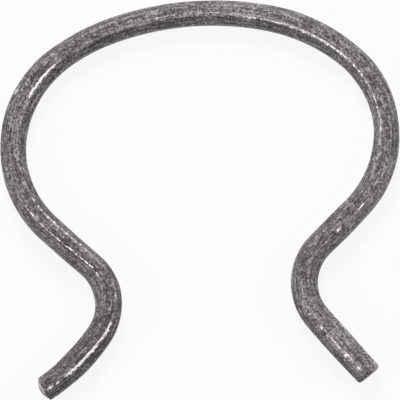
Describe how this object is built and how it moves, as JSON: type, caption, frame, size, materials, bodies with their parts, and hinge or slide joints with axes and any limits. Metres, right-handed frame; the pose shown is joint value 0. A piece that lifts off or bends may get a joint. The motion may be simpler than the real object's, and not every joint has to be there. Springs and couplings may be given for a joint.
{
  "type": "window crank clip",
  "caption": "Open omega-shaped spring wire clip that holds a window crank handle on its shaft: a wide crown, narrowed waists and flared legs.",
  "frame": {"origin": "middle of the clip's outline, on the underside of the wire as it lies flat", "axes": "+X across the clip, +Y up to its crown, +Z through the wire's thickness, up from the surface it lies on"},
  "size_m": [0.0286, 0.0286, 0.0018],
  "materials": {
    "spring_wire": "dull phosphated spring steel, with the lengthwise marks of drawing and bright worn edges"
  },
  "bodies": {
    "root": {"clip": "spring_wire"}
  },
  "joints": []
}
